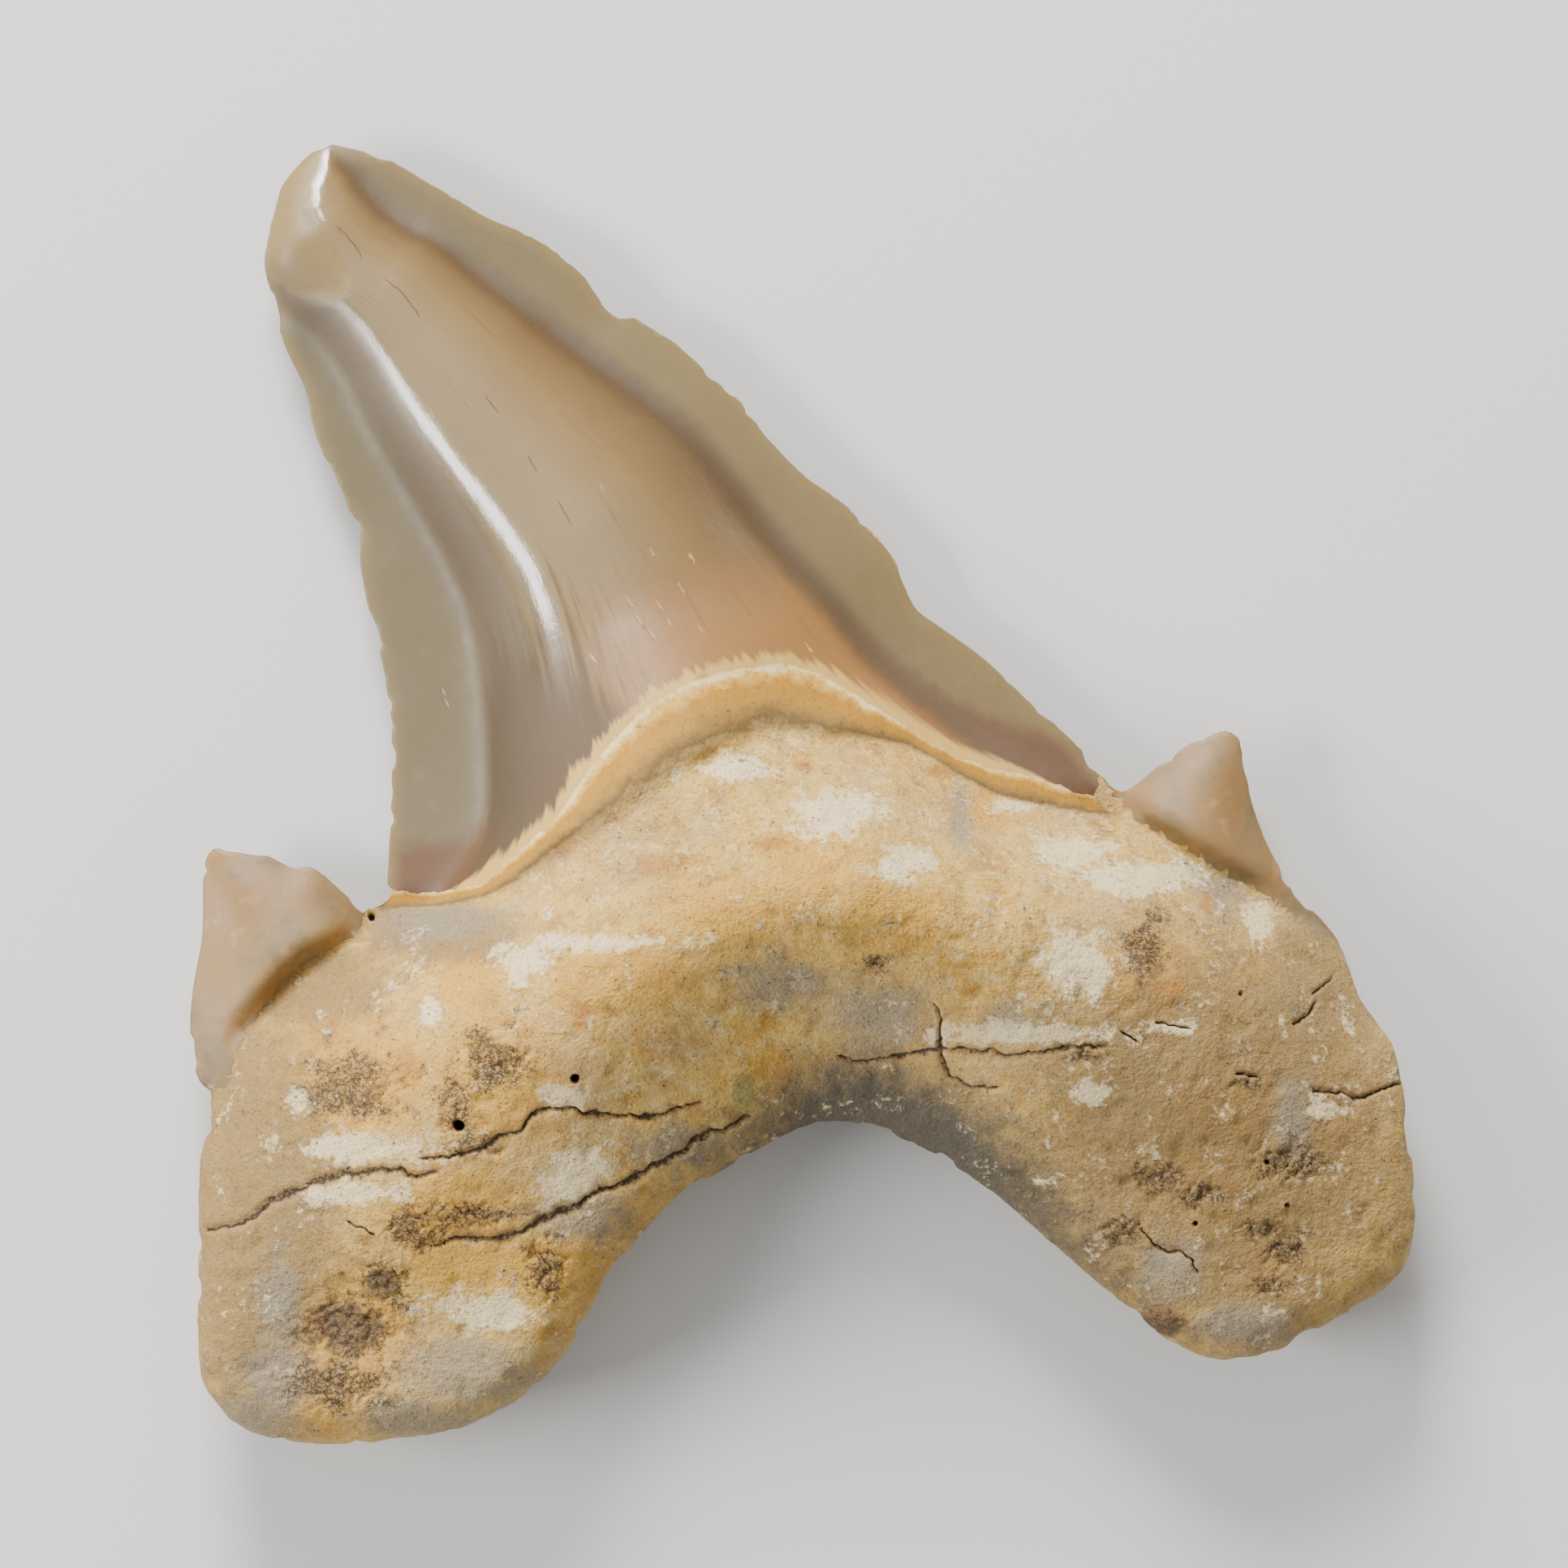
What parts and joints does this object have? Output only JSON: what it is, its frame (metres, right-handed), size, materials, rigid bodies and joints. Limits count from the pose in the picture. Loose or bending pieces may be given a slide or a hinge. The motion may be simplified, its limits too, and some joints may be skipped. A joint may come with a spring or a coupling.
{
  "type": "fossil otodus tooth",
  "caption": "Fossil shark tooth lying on its lip side: domed crown leaning left, side cusps at its shoulders, neck band and lobed root round an arch.",
  "frame": {"origin": "middle of the tooth's width and length, on the surface that it lies on", "axes": "+X across the tooth, from the short left cutting edge to the long right one; +Y from the root's lobes to the crown's tip; +Z from the lip side up to the tongue side"},
  "size_m": [0.0484, 0.0514, 0.0112],
  "materials": {
    "fossil_tooth": "cream porous root with polished grey-beige enamel crown"
  },
  "bodies": {
    "root": {"tooth": "fossil_tooth"}
  },
  "joints": []
}
